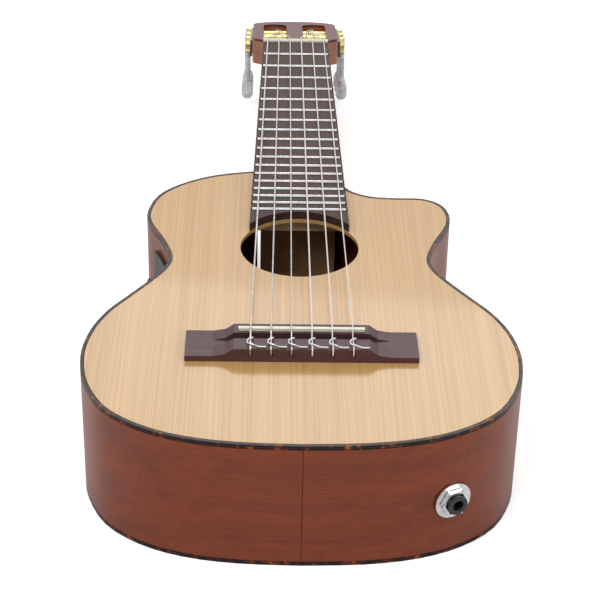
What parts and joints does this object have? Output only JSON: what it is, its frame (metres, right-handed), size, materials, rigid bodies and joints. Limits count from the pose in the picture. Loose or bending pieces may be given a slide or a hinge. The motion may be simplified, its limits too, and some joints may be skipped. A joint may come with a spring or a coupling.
{
  "type": "guitalele",
  "caption": "Small six-string nylon guitar with a cutaway body, slotted head with geared tuners, round soundhole, tie bridge, side preamplifier and output socket.",
  "frame": {"origin": "middle of the outer box in X and Y, on the flat back face that the part rests on", "axes": "+Y from the tail to the head, +Z out of the soundboard, +X towards the treble side"},
  "size_m": [0.2512, 0.6624, 0.0915],
  "materials": {
    "spruce": "satin",
    "mahogany": "gloss",
    "neck_wood": "satin",
    "veneer": "gloss",
    "rosewood": "oiled",
    "bridge_wood": "oiled",
    "lining": "raw",
    "brace": "raw",
    "shell": "gloss",
    "bone": "satin",
    "black_plastic": "satin",
    "black_metal": "gloss",
    "gold": "polished",
    "pearl": "gloss",
    "nylon": "clear",
    "wound": "wound",
    "steel": "polished"
  },
  "bodies": {
    "guitar": {"soundboard": "spruce", "back": "mahogany", "binding_top": "shell", "binding_back": "shell", "side_treble": "mahogany", "side_bass": "mahogany", "lining_top_treble": "lining", "lining_back_treble": "lining", "lining_top_bass": "lining", "lining_back_bass": "lining", "neck_block": "lining", "tail_block": "lining", "brace_above_hole": "brace", "brace_below_hole": "brace", "back_brace_1": "brace", "back_brace_2": "brace", "back_brace_3": "brace", "bridge_plate": "lining", "fan_brace_1": "brace", "fan_brace_2": "brace", "fan_brace_3": "brace", "neck": "neck_wood", "head_veneer": "veneer", "fretboard": "rosewood", "nut": "bone", "saddle": "bone", "bridge": "bridge_wood", "pickup_strip": "steel", "machine_plate_bass": "black_metal", "machine_plate_treble": "black_metal", "preamp_housing": "black_plastic", "jack_washer": "steel", "jack_nut": "steel", "jack_socket": "black_plastic", "jack_lead": "black_plastic", "pickup_lead": "black_plastic", "string_1": "nylon", "string_2": "nylon", "string_3": "nylon", "string_4": "wound", "string_5": "wound", "string_6": "wound"},
    "roller_1_body": {"roller_1": "gold"},
    "roller_2_body": {"roller_2": "gold"},
    "roller_3_body": {"roller_3": "gold"},
    "roller_4_body": {"roller_4": "gold"},
    "roller_5_body": {"roller_5": "gold"},
    "roller_6_body": {"roller_6": "gold"},
    "tuner_button_1_body": {"tuner_button_1": "pearl"},
    "tuner_button_2_body": {"tuner_button_2": "pearl"},
    "tuner_button_3_body": {"tuner_button_3": "pearl"},
    "tuner_button_4_body": {"tuner_button_4": "pearl"},
    "tuner_button_5_body": {"tuner_button_5": "pearl"},
    "tuner_button_6_body": {"tuner_button_6": "pearl"},
    "battery_drawer_body": {"battery_drawer": "black_plastic"},
    "volume_knob_body": {"volume_knob": "black_plastic"},
    "tone_knob_body": {"tone_knob": "black_plastic"}
  },
  "joints": [
    {"name": "button_1_turn", "type": "hinge", "parent": "guitar", "child": "tuner_button_1_body", "pos_m": [0.0383, 0.24504, 0.03585], "axis": [0, 0.2588, 0.9659], "continuous": true},
    {"name": "roller_1_turn", "type": "hinge", "parent": "guitar", "child": "roller_1_body", "pos_m": [0.02, 0.24411, 0.06716], "axis": [1, 0, 0], "continuous": true},
    {"name": "button_2_turn", "type": "hinge", "parent": "guitar", "child": "tuner_button_2_body", "pos_m": [0.0383, 0.27112, 0.02886], "axis": [0, 0.2588, 0.9659], "continuous": true},
    {"name": "roller_2_turn", "type": "hinge", "parent": "guitar", "child": "roller_2_body", "pos_m": [0.02, 0.2702, 0.06017], "axis": [1, 0, 0], "continuous": true},
    {"name": "button_3_turn", "type": "hinge", "parent": "guitar", "child": "tuner_button_3_body", "pos_m": [0.0383, 0.2972, 0.02187], "axis": [0, 0.2588, 0.9659], "continuous": true},
    {"name": "roller_3_turn", "type": "hinge", "parent": "guitar", "child": "roller_3_body", "pos_m": [0.02, 0.29628, 0.05318], "axis": [1, 0, 0], "continuous": true},
    {"name": "button_4_turn", "type": "hinge", "parent": "guitar", "child": "tuner_button_4_body", "pos_m": [-0.0383, 0.2972, 0.02187], "axis": [0, 0.2588, 0.9659], "continuous": true},
    {"name": "roller_4_turn", "type": "hinge", "parent": "guitar", "child": "roller_4_body", "pos_m": [-0.02, 0.29628, 0.05318], "axis": [1, 0, 0], "continuous": true},
    {"name": "button_5_turn", "type": "hinge", "parent": "guitar", "child": "tuner_button_5_body", "pos_m": [-0.0383, 0.27112, 0.02886], "axis": [0, 0.2588, 0.9659], "continuous": true},
    {"name": "roller_5_turn", "type": "hinge", "parent": "guitar", "child": "roller_5_body", "pos_m": [-0.02, 0.2702, 0.06017], "axis": [1, 0, 0], "continuous": true},
    {"name": "button_6_turn", "type": "hinge", "parent": "guitar", "child": "tuner_button_6_body", "pos_m": [-0.0383, 0.24504, 0.03585], "axis": [0, 0.2588, 0.9659], "continuous": true},
    {"name": "roller_6_turn", "type": "hinge", "parent": "guitar", "child": "roller_6_body", "pos_m": [-0.02, 0.24411, 0.06716], "axis": [1, 0, 0], "continuous": true},
    {"name": "volume_turn", "type": "hinge", "parent": "guitar", "child": "volume_knob_body", "pos_m": [-0.087, -0.11069, 0.049], "axis": [-1, 0, 0], "range_deg": [-135, 135]},
    {"name": "tone_turn", "type": "hinge", "parent": "guitar", "child": "tone_knob_body", "pos_m": [-0.087, -0.12469, 0.049], "axis": [-1, 0, 0], "range_deg": [-135, 135]},
    {"name": "battery_slide", "type": "slide", "parent": "guitar", "child": "battery_drawer_body", "axis": [-1, 0, 0], "range_m": [0, 0.03]}
  ],
  "couplings": [
    {"joint": "roller_1_turn", "follows": "button_1_turn", "ratio": 0.071429},
    {"joint": "roller_2_turn", "follows": "button_2_turn", "ratio": 0.071429},
    {"joint": "roller_3_turn", "follows": "button_3_turn", "ratio": 0.071429},
    {"joint": "roller_4_turn", "follows": "button_4_turn", "ratio": 0.071429},
    {"joint": "roller_5_turn", "follows": "button_5_turn", "ratio": 0.071429},
    {"joint": "roller_6_turn", "follows": "button_6_turn", "ratio": 0.071429}
  ]
}
